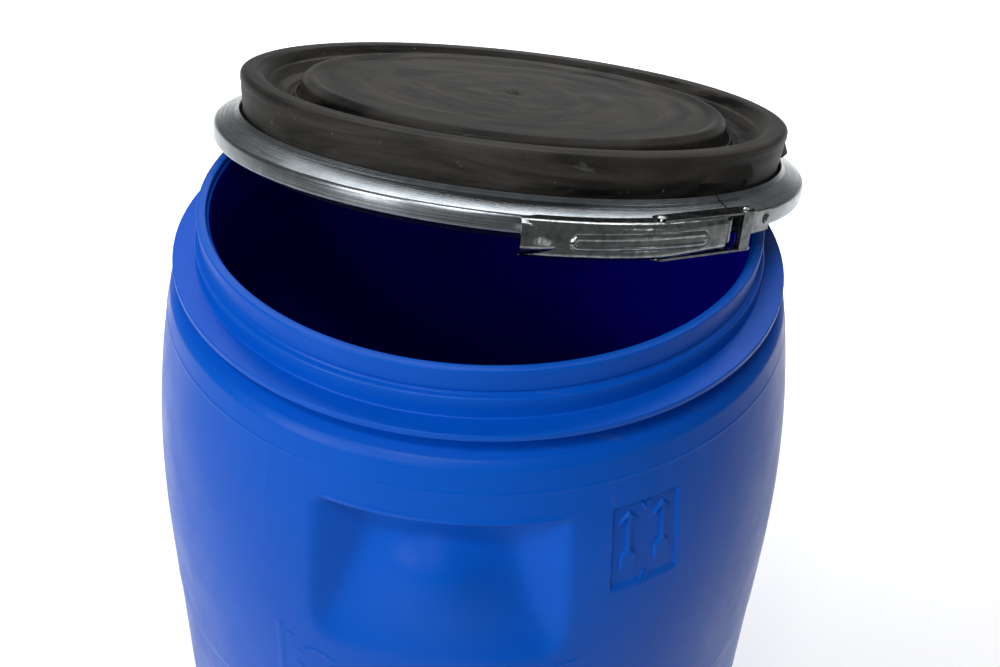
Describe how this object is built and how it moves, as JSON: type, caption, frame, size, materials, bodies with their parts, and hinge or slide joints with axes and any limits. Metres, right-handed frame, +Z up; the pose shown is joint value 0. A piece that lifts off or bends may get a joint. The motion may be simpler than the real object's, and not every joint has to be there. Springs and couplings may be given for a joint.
{
  "type": "plastic open head drum",
  "caption": "Tall blue plastic drum with a wide flanged mouth, hand recesses, a black push-on lid lying tilted on it and a steel lever-lock clamp ring.",
  "frame": {"origin": "centre of the flat pad under the base, on the floor and on the drum's axis", "axes": "+Z up along the drum's axis, -Y towards the front hand recess and the raised side of the lid, +X to the right seen from the front"},
  "size_m": [0.4942, 0.5497, 0.8843],
  "materials": {
    "blue_plastic": "blow-moulded polyethylene with a satin skin",
    "black_plastic": "injection-moulded polyethylene, matte with flow marks",
    "gasket_rubber": "foamed rubber seal",
    "galvanised_steel": "zinc-coated sheet, satin with fine rolling marks",
    "bright_steel": "bright zinc-plated pressing"
  },
  "bodies": {
    "drum": {"drum_body": "blue_plastic"},
    "lid": {"lid_shell": "black_plastic", "lid_gasket": "gasket_rubber"},
    "ring_left": {"clamp_ring_left": "galvanised_steel", "lever_bracket": "bright_steel", "lever_bracket_rivet_1": "bright_steel", "lever_bracket_rivet_2": "bright_steel", "lever_pivot_pin": "bright_steel"},
    "ring_right": {"clamp_ring_right": "galvanised_steel", "hinge_bracket": "bright_steel", "hinge_bracket_rivet": "bright_steel", "link_hinge_pin": "bright_steel"},
    "lever": {"lever": "bright_steel", "link_rivet_upper": "bright_steel", "link_rivet_lower": "bright_steel"},
    "link": {"tension_link": "bright_steel"}
  },
  "joints": [
    {"name": "lid_lift", "type": "slide", "parent": "drum", "child": "lid", "axis": [0, 0, 1], "range_m": [0, 0.35]},
    {"name": "ring_left_spread", "type": "hinge", "parent": "lid", "child": "ring_left", "pos_m": [-0.12152, 0.25823, 0.75924], "axis": [0.0609, 0.2745, 0.9597], "range_deg": [-3.91, 0]},
    {"name": "ring_right_spread", "type": "hinge", "parent": "ring_left", "child": "ring_right", "pos_m": [-0.12152, 0.25823, 0.75924], "axis": [0.0609, 0.2745, 0.9597], "range_deg": [0, 7.77]},
    {"name": "lever_swing", "type": "hinge", "parent": "ring_left", "child": "lever", "pos_m": [0.15611, -0.08667, 0.84029], "axis": [0.0609, 0.2745, 0.9597], "range_deg": [0, 125]},
    {"name": "link_swing", "type": "hinge", "parent": "ring_right", "child": "link", "pos_m": [0.17153, -0.07471, 0.83589], "axis": [0.0609, 0.2745, 0.9597], "range_deg": [0, 41.09]}
  ],
  "couplings": [
    {"joint": "ring_left_spread", "follows": "lever_swing", "ratio": -0.030895},
    {"joint": "ring_right_spread", "follows": "lever_swing", "ratio": 0.06179},
    {"joint": "link_swing", "follows": "lever_swing", "ratio": 0.32829}
  ]
}
